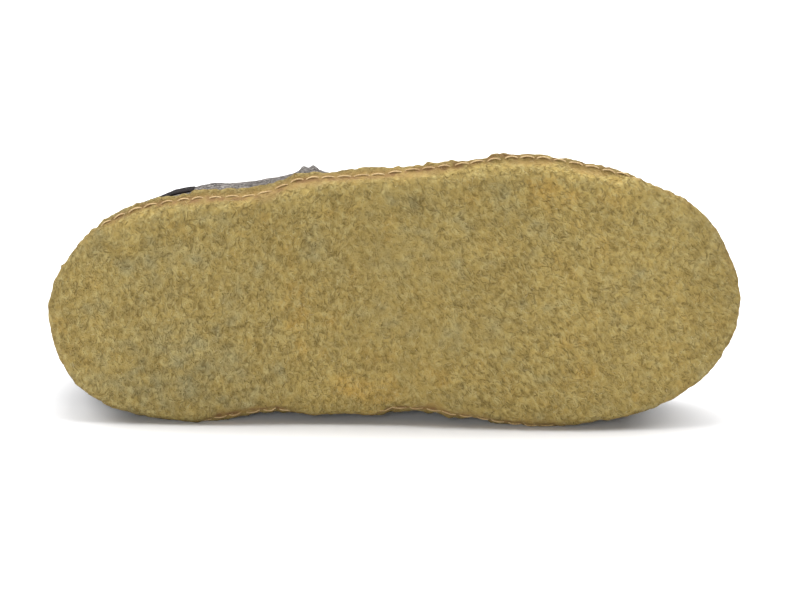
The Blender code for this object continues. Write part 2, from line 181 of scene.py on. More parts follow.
# %% A felt copy of a solid
def felt_copy(node, name, voxel, rounding=2):
    """A copy of a CAD node in shoe axes, with small even faces."""
    bm = bmesh.new()
    bm.from_mesh(frame["nodes"][node].data)
    bmesh.ops.remove_doubles(bm, verts=bm.verts, dist=1e-6)
    bmesh.ops.transform(bm, matrix=to_shoe, verts=bm.verts)
    bmesh.ops.join_triangles(
        bm, faces=bm.faces, angle_face_threshold=math.radians(25), angle_shape_threshold=math.radians(40)
    )
    rough = bpy.data.meshes.new(name + "_rough")
    bm.to_mesh(rough)
    bm.free()
    holder = bpy.data.objects.new(name + "_rough", rough)
    bpy.context.scene.collection.objects.link(holder)
    if rounding:
        holder.modifiers.new("round", "SUBSURF").levels = rounding
        holder.modifiers["round"].render_levels = rounding
    remesh = holder.modifiers.new("squares", "REMESH")
    remesh.mode, remesh.voxel_size, remesh.use_smooth_shade = "VOXEL", voxel, True
    smooth = holder.modifiers.new("smooth", "SMOOTH")
    smooth.factor, smooth.iterations = 0.5, 2
    evaluated = holder.evaluated_get(bpy.context.evaluated_depsgraph_get())
    mesh = bpy.data.meshes.new_from_object(evaluated)
    mesh.name = name
    bpy.data.objects.remove(holder)
    bpy.data.meshes.remove(rough)
    piece = bpy.data.objects.new(name, mesh)
    bpy.context.scene.collection.objects.link(piece)
    print(name, "has", 2 * len(mesh.polygons), "triangles")
    return piece


def points_of(mesh):
    points = np.empty(3 * len(mesh.vertices), dtype=np.float32)
    mesh.vertices.foreach_get("co", points)
    return points.reshape(-1, 3).astype(float)


def normals_of(mesh):
    normals = np.empty(3 * len(mesh.vertices), dtype=np.float32)
    mesh.vertices.foreach_get("normal", normals)
    return normals.reshape(-1, 3).astype(float)


def set_points(mesh, points):
    mesh.vertices.foreach_set("co", points.astype(np.float32).ravel())
    mesh.update()


def tree_of(piece):
    """A tree that finds the place of a piece's surface nearest to a point."""
    return BVHTree.FromPolygons([v.co for v in piece.data.vertices], [p.vertices for p in piece.data.polygons])


def lumps(points, size, seed):
    """Smooth noise between about -1 and 1, with lumps of that size in metres."""
    return np.array([noise.noise(place) for place in points / size + 17.3 * seed])


# %% [markdown]
# ## The sole
# The sole is thick felt soaked in latex and squashed by hand. Four sizes of unevenness make it: long swells, lumps as
# big as a pea, nubs of matted wool and a fine grit. Along the lip the felt is cut by eye, so the edge runs in and out,
# and each stitch pulls it in a little. At the heel, at the toe and along part of the inner side the tread swells out
# so far that it hides the stitches. All this is written down in short tables along the outline, in millimetres from
# the tip of the heel, round the outer side to the toe and back along the inner side.

# %% Tables along the lip
STITCH_PITCH = 0.00622
FIRST_STITCH = 0.0431

# how far the tread covers the stitches, from 0 to 1
COVER = (
    (0, 1), (38, 1), (46, 0), (236, 0), (248, 1), (400, 1), (410, 0.35), (440, 0.35), (450, 0), (470, 0),
    (476, 0.8), (504, 0.8), (510, 0), (534, 0), (542, 1), (621, 1),
)
# how far in from the outline the stitches run, in millimetres
STITCH_INSET = (
    (0, 0.9), (40, 0.7), (62, 0.8), (72, 1.4), (80, 1.9), (100, 2.2), (107, 2.5), (113, 1.3), (140, 1.8), (150, 1.7),
    (161, 1.1), (173, 0.5), (186, 0.1), (194, -0.4), (205, -0.2), (215, -0.2), (230, -0.3), (242, -0.2), (250, 0.9),
    (400, 0.9), (410, 1.4), (470, 1.4), (480, 1.0), (505, 1.0), (512, 1.5), (534, 1.5), (542, 0.9), (621, 0.9),
)
# how far the whole edge stands out past the plan, in millimetres
EDGE_OUT = (
    (0, 0.4), (20, 0.4), (30, 0.0), (45, 0.4), (60, 0.6), (255, 0.5), (275, 0.6), (292, 0.4), (303, 1.2), (312, 1.7),
    (322, 1.0), (335, 0.2), (350, 0.3), (400, 0.5), (438, 0.6), (445, 1.4), (452, 0.6), (468, 0.8), (472, 2.7),
    (477, 2.7), (482, 1.8), (493, 1.8), (498, 2.3), (503, 0.8), (511, -0.6), (524, -0.4), (536, 0.2), (560, 0.2),
    (575, 0.4), (590, -0.2), (606, -0.4), (614, 0.2), (621, 0.4),
)
# lumps of the lip: millimetres along the outline, how far out, and half width
LIP_LUMPS = (
    (56, 0.7, 5), (64, 0.5, 3), (72, -0.5, 4), (81, 0.9, 4), (90, 0.5, 5), (100, 0.8, 6), (117, 0.9, 4), (130, -0.7, 4),
    (138, 0.6, 10), (146, 0.7, 4), (163, -0.5, 5), (170, 0.6, 9), (177, 0.6, 3), (188, -0.4, 3), (194, 1.7, 7),
    (208, 0.8, 9), (220, 0.5, 3), (228, 0.8, 8), (240, 0.8, 8), (410, 0.5, 9), (446, 0.5, 5), (532, 0.5, 8),
)


def from_table(table, along):
    """The values of a table whose first column is in millimetres along the outline."""
    rows = np.array(table, dtype=float)
    return np.interp(along * 1e3, rows[:, 0], rows[:, 1])


print("stitches", from_table(STITCH_INSET, 0.1), "mm in, 100 mm along")

# %% [markdown]
# Each place of the sole is pushed about in its own way, so soft masks come first: 1 on the lip, beside the stitches,
# on the tread or on the flank between them, and 0 elsewhere. They are worked out from the heights and insets of the
# points, because the mesh itself has no parts.

# %% Places of the sole
sole = felt_copy("sole", "sole_felt", voxel=0.0008)
points, normals = points_of(sole.data), normals_of(sole.data)
along, inset, height, out = place_on_shoe(points)
past_seam = inset - from_table(STITCH_INSET, along) * 1e-3
at_lip = soft_step(height, 0.0046, 0.0060) * (1 - soft_step(inset, 0.0016, 0.0030))
beside_stitches = soft_step(past_seam, -0.0004, 0.0004) * (1 - soft_step(past_seam, 0.0018, 0.0036)) * (1 - at_lip)
on_tread = 1 - soft_step(height, 0.0035, 0.0060)
cover = from_table(COVER, along)
flank = soft_step(height, 0.0001, 0.0014) * (1 - soft_step(height, 0.0046, 0.0058))
edge = np.maximum(at_lip, cover * (1 - soft_step(inset, 0.0010, 0.0040)))
print("points on the lip:", int((at_lip > 0.5).sum()), "beside the stitches:", int((beside_stitches > 0.5).sum()))

# %% [markdown]
# The lumps push the felt along its normals. The edge is slid flat along the ground instead, away from the middle of
# the sole, because a push along the normals of a thin lip would only make it thicker. Smooth noise makes both: it is
# seeded, so the same lumps come out each time.

# %% Shape the sole
swells = lumps(points, 0.030, 1)
peas = lumps(points, 0.0080, 2)
nubs = lumps(points, 0.0025, 3)
grit = lumps(points, 0.0015, 4)

push = 0.00030 * swells + 0.00034 * peas + (0.00036 * nubs + 0.00017 * grit) * (1 - 0.5 * beside_stitches)
push *= 0.35 + 0.65 * np.maximum(on_tread, at_lip)

on_line = np.stack([along, 0 * along, 0.4 * height], axis=1)
pull = np.cos(2 * math.pi * (along - FIRST_STITCH) / STITCH_PITCH)
ragged = lumps(on_line, 0.0034, 5) + 0.8 * lumps(on_line, 0.0090, 6) + 1.1 * lumps(on_line, 0.0020, 8)
slide = from_table(EDGE_OUT, along) * 1e-3 * (1 - soft_step(inset, 0.0020, 0.0090))
slide += cover * flank * np.clip(inset - 0.0002, 0, 0.0022) * (1 - soft_step(inset, 0.0060, 0.0100))
slide += edge * (0.00040 * ragged + 0.00008 * pull)
for middle, size, width in LIP_LUMPS:
    slide += edge * size * 1e-3 * np.exp(-(((along - middle * 1e-3) / (width * 1e-3)) ** 2))

points = points + normals * push[:, None] + out * slide[:, None]
set_points(sole.data, points)
print("sole pushed by", round(push.min() * 1e3, 2), "to", round(push.max() * 1e3, 2), "mm")
print("edge moved by", round(slide.min() * 1e3, 2), "to", round(slide.max() * 1e3, 2), "mm")

# %% [markdown]
# Paint needs to know where the latex is thin, where the groove of the stitches runs, which gets a painted shadow, and
# where the felt turns away from the tread, which gets painted shade. These places are kept on the mesh as attributes,
# one number for each point, which the nodes read by name.


# %% Keep the places on the mesh
def keep_on_mesh(mesh, name, values):
    layer = mesh.attributes.new(name, "FLOAT", "POINT")
    layer.data.foreach_set("value", np.asarray(values, dtype=np.float32))


thin_latex = (1 - soft_step(past_seam + 0.0022 * lumps(points, 0.009, 7), 0.0010, 0.0030)) * (1 - 0.8 * at_lip)
thin_latex *= 1 - 0.55 * cover
# painted shadow: a dark band along the stitch groove, where the thread shades the felt
groove_shadow = np.exp(-(((past_seam - 0.0009) / 0.0010) ** 2)) * soft_step(height, 0.0018, 0.0032)
groove_shadow *= (1 - soft_step(height, 0.0056, 0.0066)) * (1 - 0.7 * cover)
keep_on_mesh(sole.data, "thin_latex", thin_latex)
keep_on_mesh(sole.data, "groove_shadow", groove_shadow)
# painted shade: this mask darkens the lip and, where the tread covers the stitches, the flank that turns away from it
keep_on_mesh(sole.data, "lip", np.maximum(at_lip, 0.6 * cover * soft_step(height, 0.0010, 0.0040)))
keep_on_mesh(sole.data, "heel_to_toe", points[:, 0] / LENGTH)
keep_on_mesh(sole.data, "outer_to_inner", points[:, 1] / BALL_WIDTH)
print("attributes on the sole:", [a.name for a in sole.data.attributes if not a.name.startswith(".")][-5:])

# %% [markdown]
# ## The upper
# The upper is one thickness of wool felt, open at the collar. Felt on a last keeps soft folds: across the vamp where
# the foot bends, at the throat, and in the wall of the quarter, which sags a little between the seam and the heel.
# Above the outer lip the wall bulges out, which is the grey strip that the photo shows. It has a table of its own.
# Both skins of the felt move together, away from a line through the middle of the shoe, so that it keeps its
# thickness. Each fold is a soft trough or ridge along a line of points, in millimetres of the standing shoe. The
# points only have to lie near the felt: the line is laid on its surface first.

# %% Shape the upper
FOLDS = (
    # depth and width in mm (a negative depth is a ridge), then the points of the line
    (3.2, 6.0, ((168, 34, 22), (172, 22, 48), (176, 0, 57), (172, -22, 50), (166, -42, 26))),
    (-1.6, 6.0, ((180, 33, 22), (184, 18, 46), (187, -2, 52), (184, -24, 44), (178, -44, 24))),
    (2.6, 5.5, ((194, 30, 22), (197, 12, 44), (199, -6, 46), (196, -28, 38), (192, -42, 22))),
    (2.2, 8.0, ((138, 20, 58), (150, 2, 66), (142, -20, 60))),
    (-1.5, 11.0, ((54, -44, 24), (74, -47, 26), (98, -48, 26))),
    (-0.8, 4.0, ((60, -45, 18), (62, -45, 30))),
    (1.4, 8.0, ((22, -30, 44), (40, -40, 46), (60, -43, 44))),
    (1.6, 9.0, ((34, 34, 36), (56, 38, 34), (76, 38, 38))),
    (1.8, 10.0, ((228, 14, 30), (238, -4, 32), (228, -22, 30))),
    (0.9, 6.0, ((108, -50, 26), (120, -46, 42), (132, -36, 56))),
    (1.0, 6.0, ((104, 38, 24), (118, 34, 42), (130, 26, 56))),
)
AXIS_HEIGHT = 0.022
# how far the wall bulges above the lip between the patch and the side seam: mm along the outline, mm outward
SIDE_BULGE = ((60, 0.0), (70, 1.0), (79, 1.5), (86, 1.8), (104, 1.7), (113, 0.6), (118, 0.0))
BULGE_FADES = (0.026, 0.046)


def distance_to_line(points, line):
    """Distance of each point from a run of straight stretches."""
    best = np.full(len(points), np.inf)
    for start, end in zip(line, line[1:]):
        run = end - start
        share = np.clip(((points - start) @ run) / (run @ run), 0.0, 1.0)
        best = np.minimum(best, np.linalg.norm(points - start - share[:, None] * run, axis=1))
    return best


def line_on(tree, line, pieces=5):
    """The line in metres, divided finely and laid on the surface of a tree."""
    corners = np.array(line, dtype=float) * 1e-3
    shares = np.linspace(0, len(corners) - 1, pieces * (len(corners) - 1) + 1)
    places = np.stack([np.interp(shares, range(len(corners)), corners[:, axis]) for axis in range(3)], axis=1)
    return np.array([tree.find_nearest(Vector(place))[0] for place in places])


upper = felt_copy("upper", "upper_felt", voxel=0.00098)
upper_skin = tree_of(upper)
points, normals = points_of(upper.data), normals_of(upper.data)
along, inset, height, out = place_on_shoe(points)
middle_y = np.interp(points[:, 0] / LENGTH, plan[:, 0], (plan[:, 2] - plan[:, 1]) / 2) * BALL_WIDTH
outward = np.stack([0 * middle_y, points[:, 1] - middle_y, points[:, 2] - AXIS_HEIGHT], axis=1)
outward /= np.maximum(np.linalg.norm(outward, axis=1), 1e-6)[:, None]
clear_of_foot = soft_step(height, 0.0135, 0.0240)

move = 0.0009 * lumps(points, 0.042, 11) + 0.0005 * lumps(points, 0.018, 12)
for depth, width, line in FOLDS:
    away = distance_to_line(points, line_on(upper_skin, line))
    move -= depth * 1e-3 * np.exp(-((away / (width * 1e-3)) ** 2))
points = points + outward * (move * clear_of_foot)[:, None]
side_bulge = from_table(SIDE_BULGE, along) * 1e-3
points = points + out * (side_bulge * (1 - soft_step(height, *BULGE_FADES)))[:, None]

nap = 0.00026 * lumps(points, 0.0042, 13) + 0.00016 * lumps(points, 0.0019, 14)
points = points + normals * (nap * (0.25 + 0.75 * soft_step(height, 0.0125, 0.0150)))[:, None]
set_points(upper.data, points)
print("folds:", len(FOLDS), "moved by", round(move.min() * 1e3, 2), "to", round(move.max() * 1e3, 2), "mm")

# %% [markdown]
# ## The insole and the heel patch
# Both are cut from thinner felt. The insole is pressed by use in the heel and under the ball, which shows as shallow
# hollows. The patch is tight on the heel: it has a nap, and its outer end follows the bulge of the wall.

# %% Shape the insole and the patch
# hollows of the insole: place from the heel and to the inner side, half width and depth, all in mm
HOLLOWS = ((38, 0, 26, 0.8), (178, -4, 36, 0.7), (228, -6, 18, 0.4))
# how far the patch's end bulges: mm along the outline, mm outward
PATCH_BULGE = ((57, 0.0), (64, 0.6), (70, 1.8), (80, 2.0))

insole = felt_copy("insole", "insole_felt", voxel=0.0012)
points, normals = points_of(insole.data), normals_of(insole.data)
for x, y, reach, depth in HOLLOWS:
    away = np.hypot(points[:, 0] - x * 1e-3, points[:, 1] - y * 1e-3) / (reach * 1e-3)
    on_top = soft_step(normals[:, 2], 0.0, 0.5)
    points[:, 2] -= depth * 1e-3 * np.exp(-(away**2)) * on_top
points += normals * (0.00016 * lumps(points, 0.0036, 21) + 0.00010 * lumps(points, 0.0020, 22))[:, None]
_, inset, _, out = place_on_shoe(points)
points += out * (0.00045 * (1 - soft_step(inset, 0.008, 0.016)))[:, None]
set_points(insole.data, points)

patch = felt_copy("heel_patch", "heel_patch_felt", voxel=0.00055, rounding=1)
points, normals = points_of(patch.data), normals_of(patch.data)
points += normals * (0.00010 * lumps(points, 0.0024, 23) + 0.00006 * lumps(points, 0.0012, 24))[:, None]
along, _, height, out = place_on_shoe(points)
patch_bulge = from_table(PATCH_BULGE, along) * 1e-3
points += out * (patch_bulge * (1 - soft_step(height, *BULGE_FADES)))[:, None]
set_points(patch.data, points)
print("hollows:", len(HOLLOWS), "patch bulges by", round(patch_bulge.max() * 1e3, 2), "mm")

# %% [markdown]
# ## The stitches
# A thick waxed thread joins upper and sole: on the sole it lies in the groove under the lip, on the upper it lies on
# the turned-out foot. One machine stitch is a short arch that dips into the felt at both ends. Tubes along a curve
# make them well: a curve object with a bevel depth, one short spline for each stitch, with the radius falling to the
# ends. Loose fibres will be made by the same helper, from longer lists of strands.


# %% A mesh of many tubes
def tubes(name, strands, radius, sides_step=1):
    """One mesh of thin tubes. Each strand is a list of points in shoe axes and a list of thicknesses."""
    curve = bpy.data.curves.new(name, "CURVE")
    curve.dimensions = "3D"
    curve.bevel_depth = radius
    curve.bevel_resolution = sides_step
    curve.use_fill_caps = True
    for places, shares in strands:
        spline = curve.splines.new("POLY")
        spline.points.add(len(places) - 1)
        spline.points.foreach_set("co", [c for place in places for c in (*place, 1.0)])
        spline.points.foreach_set("radius", shares)
    holder = bpy.data.objects.new(name, curve)
    bpy.context.scene.collection.objects.link(holder)
    mesh = bpy.data.meshes.new_from_object(holder.evaluated_get(bpy.context.evaluated_depsgraph_get()))
    mesh.name = name
    bpy.data.objects.remove(holder)
    bpy.data.curves.remove(curve)
    mesh.shade_smooth()
    piece = bpy.data.objects.new(name, mesh)
    bpy.context.scene.collection.objects.link(piece)
    print(name, "has", len(strands), "strands and", sum(len(p.vertices) - 2 for p in mesh.polygons), "triangles")
    return piece


# %% [markdown]
# Each stitch is aimed at a place on the outline and then set on the real surface there, which a nearest-point search
# on a BVH tree finds. The felt is guided through the machine by hand, so the stitches vary a little in place, length
# and inset, by seeded chance. Where the tread hides them they lie higher, and so do those that run close to the edge.

# %% Lay the stitches
THREAD_RADIUS = 0.00028
STITCH_LENGTH = 0.0050
STITCH_HEIGHT, HIDDEN_RISE, EDGE_RISE = 0.0044, 0.0017, 0.0008
FOOT_STITCH_INSET, FOOT_STITCH_HEIGHT, FOOT_STITCH_SHIFT = 0.0023, 0.0135, 0.0012
# one stitch: share of its length, how far it stands off the felt and how far it bows outward, in thread radii, and
# its thickness
STITCH_ARCH = (
    (-0.50, -0.9, -2.0, 0.7), (-0.43, 0.1, -1.2, 0.9), (-0.24, 0.6, 0.2, 1.0), (0.00, 0.7, 0.8, 1.0),
    (0.24, 0.6, 0.2, 1.0), (0.43, 0.1, -1.2, 0.9), (0.50, -0.9, -2.0, 0.7),
)

hand = np.random.default_rng(7)
sole_tree, upper_tree = tree_of(sole), tree_of(upper)
stitch_count = round(PERIMETER / STITCH_PITCH)


def lay_stitch(tree, middle, inset, height, length):
    """One arch of thread on the surface nearest to that place."""
    places, shares = [], []
    for share, rise, bow, thickness in STITCH_ARCH:
        aim = outline_point(middle + share * length, inset - bow * THREAD_RADIUS, height)
        on_felt, normal, _, _ = tree.find_nearest(aim)
        places.append(on_felt + normal * rise * THREAD_RADIUS)
        shares.append(thickness)
    return places, shares


under_lip, on_foot = [], []
for number in range(stitch_count):
    middle = FIRST_STITCH + number * PERIMETER / stitch_count + hand.normal(0, 0.00028)
    length = STITCH_LENGTH * hand.normal(1.0, 0.07)
    drift = hand.normal(0, 0.00014)
    hidden = float(from_table(COVER, middle % PERIMETER))
    inset = float(from_table(STITCH_INSET, middle % PERIMETER)) * 1e-3 + drift
    near_edge = min(1.0, max(0.0, (0.0016 - inset) / 0.0010))
    height = STITCH_HEIGHT + HIDDEN_RISE * hidden + EDGE_RISE * near_edge * (1 - hidden)
    under_lip.append(lay_stitch(sole_tree, middle, inset, height, length))
    foot_inset, foot_middle = FOOT_STITCH_INSET + drift, middle + FOOT_STITCH_SHIFT
    on_foot.append(lay_stitch(upper_tree, foot_middle, foot_inset, FOOT_STITCH_HEIGHT, 0.92 * length))
lip_thread = tubes("lip_stitches", under_lip + on_foot, THREAD_RADIUS)

# %% [markdown]
# ## Finish the places of the pieces
# So far all pieces stand in shoe axes. Now their meshes are turned to where the slipper lies. Felt that would sink
# into the floor is pressed flat on it, as real felt is. Each piece then rides on the one body of the model, and the
# CAD node whose place it takes, if any, is hidden.


# %% Lay the pieces down
def lay_down(piece, *nodes, slot):
    piece.data.transform(to_world)
    points = points_of(piece.data)
    pressed = int((points[:, 2] < 0.0001).sum())
    points[:, 2] = np.maximum(points[:, 2], 0.0001)
    set_points(piece.data, points)
    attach(piece, "root")
    if nodes:
        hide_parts(*nodes)
    print(piece.name, "laid down,", pressed, "points pressed on the floor")


lay_down(sole, "sole", slot="latex_felt")
lay_down(upper, "upper", slot="grey_felt")
lay_down(insole, "insole", slot="insole_felt")
lay_down(patch, "heel_patch", slot="dark_felt")
lay_down(lip_thread, slot="latex_felt")

# %% [markdown]
# ## A way to write materials
# Node trees are graphs, but most of what they hold is arithmetic. The small class below wraps the output of a node,
# so that `1 - mask * 0.5` adds the Math nodes itself. Everything that isn't arithmetic goes through one method, which
# sets a node's settings first and then its sockets.


# %% Nodes as expressions
class Value:
    """The output socket of a node. Arithmetic on it adds Math nodes."""

    def __init__(self, finish, socket):
        self.finish, self.socket = finish, socket

    def math(self, operation, *others):
        return self.finish.node("ShaderNodeMath", {"operation": operation}, dict(enumerate((self, *others))))

    def __add__(self, other):
        return self.math("ADD", other)

    __radd__ = __add__

    def __mul__(self, other):
        return self.math("MULTIPLY", other)

    __rmul__ = __mul__

    def __sub__(self, other):
        return self.math("SUBTRACT", other)

    def __rsub__(self, other):
        return (self * -1).math("ADD", other)

    def squared(self):
        return self * self

    def ramp(self, low, high):
        """0 below low, 1 above high, soft between. With low above high it falls."""
        settings = {"interpolation_type": "SMOOTHSTEP"}
        if low > high:
            return 1 - self.ramp(high, low)
        return self.finish.node("ShaderNodeMapRange", settings, {"Value": self, "From Min": low, "From Max": high})

    def away_from(self, middle):
        return (self - middle).math("ABSOLUTE")


class Finish:
    """A material under a maker's name, built by adding nodes."""

    def __init__(self, name, specular=0.5):
        self.material = bpy.data.materials.new(name)
        self.material.use_nodes = True
        self.tree = self.material.node_tree
        self.shader = self.tree.nodes["Principled BSDF"]
        self.shader.inputs["Specular IOR Level"].default_value = specular
        self.places = self.node("ShaderNodeTexCoord", {}, {}, out="Object")

    def node(self, kind, settings, sockets, out=0):
        """A new node: its settings are set first, then its sockets get numbers or links."""
        node = self.tree.nodes.new(kind)
        for name, value in settings.items():
            setattr(node, name, value)
        for name, value in sockets.items():
            if isinstance(value, Value):
                self.tree.links.new(value.socket, node.inputs[name])
            else:
                node.inputs[name].default_value = value
        return Value(self, node.outputs[out])

    def attribute(self, name):
        return self.node("ShaderNodeAttribute", {"attribute_name": name}, {}, out="Fac")

    def noise(self, size, seed, detail=2.0, rough=0.5, twist=0.0, stretch=(1, 1, 1), turn=(0, 0, 0)):
        """Noise from 0 to 1 with lumps of that size in metres, longer along an axis by its stretch, then turned."""
        scale = tuple(size * s for s in stretch)
        sockets = {"Vector": self.places, "Rotation": turn, "Scale": scale, "Location": (seed * 0.37, seed * 0.19, 0)}
        placed = self.node("ShaderNodeMapping", {"vector_type": "TEXTURE"}, sockets)
        sockets = {"Vector": placed, "Scale": 1.0, "Detail": detail, "Roughness": rough, "Distortion": twist}
        return self.node("ShaderNodeTexNoise", {}, sockets)

    def strands(self, size, seed, width=0.06, **shape):
        """Thin winding lines: the places where a noise passes through its middle."""
        return self.noise(size, seed, detail=1.0, **shape).away_from(0.5).ramp(width, 0.0)

    def mix(self, first, second, share):
        """The first colour where share is 0 and the second where it is 1."""
        first, second = ((*c, 1.0) if isinstance(c, tuple) else c for c in (first, second))
        settings = {"data_type": "RGBA", "clamp_factor": True}
        return self.node("ShaderNodeMix", settings, {0: share, 6: first, 7: second}, out=2)

    def scaled(self, colour, share):
        """The colour, lighter or darker by that factor."""
        return self.node("ShaderNodeVectorMath", {"operation": "SCALE"}, {0: colour, "Scale": share})

    def paint(self, colour, roughness, relief, depth, piece):
        """Joins colour, roughness and relief (in units of depth, in metres) to the shader, and puts it on a piece."""
        links = self.tree.links
        links.new(colour.socket, self.shader.inputs["Base Color"])
        if isinstance(roughness, Value):
            links.new(roughness.socket, self.shader.inputs["Roughness"])
        else:
            self.shader.inputs["Roughness"].default_value = roughness
        bump = self.node("ShaderNodeBump", {}, {"Height": relief, "Distance": depth, "Strength": 1.0}, out="Normal")
        links.new(bump.socket, self.shader.inputs["Normal"])
        piece.data.materials.clear()
        piece.data.materials.append(self.material)
        print(self.material.name, "has", len(self.tree.nodes), "nodes")


# %% [markdown]
# ## Latex-soaked felt
# Seen close, the sole is a mat of pale fibres with dark gaps between them. They lie across the sole at the heel and
# slantwise from the waist on, as the felt was pulled over the last. The latex has gone in unevenly: cool and greenish
# at the heel, warm and orange at the waist, pale at the toe, and smooth and brown beside the stitches. So the paint has
# two parts. The first is this one: soft patches, each with a warmth and a lightness, over two sizes of noise. Their
# centres are bent by more noise, so that no patch is a plain oval.

# %% Patches of the sole
latex = Finish("latex_felt", specular=0.25)
thin = latex.attribute("thin_latex")
groove_shadow_share = latex.attribute("groove_shadow")
lip_shade = latex.attribute("lip")
heel_to_toe = latex.attribute("heel_to_toe")
toe_way = heel_to_toe * (LENGTH * 1e3) + (latex.noise(0.009, 8, detail=3.0) - 0.5) * 26
inner_way = latex.attribute("outer_to_inner") * (BALL_WIDTH * 1e3) + (latex.noise(0.009, 9, detail=3.0) - 0.5) * 26

# place on the sole and half sizes in mm (from the heel, to the inner side), warmth, lightness
PATCHES = (
    (30, -22, 17, 8, -1.0, -0.02), (53, 27, 22, 8, -1.0, -0.13), (66, 4, 9, 9, -0.6, -0.04),
    (137, -38, 10, 8, -0.6, -0.03), (170, -43, 8, 7, -0.5, -0.03), (168, -1, 11, 9, -0.4, -0.03),
    (233, -28, 13, 13, -0.6, 0.03), (23, 28, 10, 6, -0.6, -0.03), (40, 0, 46, 50, -0.35, 0.0),
    (92, -4, 5, 28, 0.9, 0.04), (96, 7, 3.5, 13, 0.6, 0.04), (122, 30, 12, 7, 1.1, 0.16),
    (107, 28, 13, 8, 0.7, 0.22), (199, -46, 21, 7, 0.9, 0.13), (167, -24, 19, 8, 0.3, 0.05),
    (194, 26, 7, 9, 0.6, -0.05), (45, -37, 11, 4, 0.5, 0.0), (226, 27, 15, 6, 0.4, -0.02),
    (226, -6, 42, 46, 0.0, 0.17), (120, -6, 34, 34, 0.15, -0.04), (214, 14, 11, 9, -0.1, -0.05),
    (5, 0, 6, 22, 0.2, 0.03), (150, 12, 9, 7, -0.3, -0.04), (110, -22, 9, 7, -0.4, -0.04),
)
warmth = (latex.noise(0.0060, 10, detail=2.0) - 0.5) * 3.2 + (latex.noise(0.015, 11, detail=2.0) - 0.5) * 2.8
light = 1 + (latex.noise(0.0044, 12, detail=2.0, rough=0.55) - 0.5) * 0.62 + (latex.noise(0.013, 13) - 0.5) * 0.22
for x, y, length, width, warm, pale in PATCHES:
    patch_here = (((toe_way - x) * (1 / length)).squared() + ((inner_way - y) * (1 / width)).squared()) * -1
    patch_here = patch_here.math("EXPONENT")
    warmth = warmth + patch_here * warm
    light = light + patch_here * pale
print("patches:", len(PATCHES), "nodes so far:", len(latex.tree.nodes))

# %% [markdown]
# The second part is the grain: tufts, fibres, gaps and pores, each a noise or the thin lines where a noise passes
# through its middle. They are drawn out along the way that the fibres lie, and the two ways fade into each other at
# the waist. The same values make the relief, so that light fibres also stand up and dark gaps lie deep.

# %% Grain of the sole
past_waist = (heel_to_toe + (latex.noise(0.025, 14) - 0.5) * 0.5).ramp(0.42, 0.62)
SLANT = (0, math.radians(-40), 0)


def two_ways(make, seed):
    """Grain that lies across the sole at the heel and slantwise beyond the waist."""
    upright = make(seed=seed, stretch=(1, 1, 1.35))
    slanted = make(seed=seed + 30, stretch=(1, 1, 1.5), turn=SLANT)
    return upright + (slanted - upright) * past_waist


pores = two_ways(lambda **how: latex.noise(0.00150, detail=2.0, rough=0.6, twist=0.5, **how).ramp(0.49, 0.33), 1)
gaps = two_ways(lambda **how: latex.strands(0.0026, width=0.085, twist=0.9, **how), 2)
gaps = gaps * latex.noise(0.0022, 3, detail=1.0).ramp(0.42, 0.58)
fibres = two_ways(lambda **how: latex.strands(0.0023, width=0.095, twist=1.0, **how), 4)
fibres = fibres * latex.noise(0.0024, 5, detail=1.0).ramp(0.38, 0.56)
fine_fibres = latex.strands(0.0012, 6, width=0.09, twist=1.0)
tufts = two_ways(lambda **how: latex.noise(0.00210, detail=2.0, rough=0.6, **how), 7)
light_tufts, dark_tufts = tufts.ramp(0.50, 0.68), tufts.ramp(0.50, 0.34)

# %% [markdown]
# The colours are laid over one another: the felt's khaki first, warmer or cooler by the patches, brown where the latex
# is thin, then the grain, and last a painted shadow in the groove under the thread, broken so that it isn't a drawn
# line. The grain is calmer where the latex is thin, and painted shade makes the felt darker on the lip and where it
# turns away from the tread.

# %% Colours of the sole
KHAKI, WARM_TAN, COOL_KHAKI = (0.352, 0.257, 0.078), (0.380, 0.248, 0.062), (0.305, 0.262, 0.122)
THIN_BROWN, GROOVE_SHADOW_BROWN = (0.255, 0.158, 0.046), (0.185, 0.095, 0.036)
PALE_TUFT, PALE_FIBRE, FINE_FIBRE = (0.50, 0.41, 0.170), (0.54, 0.45, 0.200), (0.50, 0.41, 0.180)
DARK_TUFT, DARK_PORE, DARK_GAP = (0.165, 0.108, 0.024), (0.135, 0.087, 0.018), (0.125, 0.080, 0.016)

calm = 1 - thin * 0.6
# painted shade: the sole is painted darker on the lip and on the flank where it turns away from the tread
light = light * (1 - lip_shade * 0.34)
colour = latex.mix(KHAKI, WARM_TAN, warmth.ramp(0.0, 1.8))
colour = latex.mix(colour, COOL_KHAKI, warmth.ramp(0.0, -1.8))
colour = latex.mix(colour, THIN_BROWN, thin * 0.75)
colour = latex.scaled(colour, light)
for shade, mask, share in (
    (PALE_TUFT, light_tufts, 0.40), (DARK_TUFT, dark_tufts, 0.36), (PALE_FIBRE, fibres, 0.27),
    (FINE_FIBRE, fine_fibres, 0.10), (DARK_PORE, pores, 0.24), (DARK_GAP, gaps, 0.42),
):
    colour = latex.mix(colour, shade, mask * calm * share)
# painted shadow: the groove under the thread is painted dark brown, in broken patches
colour = latex.mix(colour, GROOVE_SHADOW_BROWN, groove_shadow_share * latex.noise(0.0030, 15, detail=1.0).ramp(0.30, 0.66) * 0.85)

relief = fibres * 0.6 + fine_fibres * 0.3 + tufts * 1.8 - pores * 0.7 - gaps * 0.8
latex.paint(colour, 0.85 - thin * 0.15, relief * calm, 0.00040, sole)

# %% [markdown]
# ## Wool felt
# The upper is heathered: light and dark wool carded together, so that no fibre is the felt's mean grey. It is painted
# as it is carded, with long, short and dark fibres over a middle grey. The same recipe in other greys makes the
# insole and the dark patch.


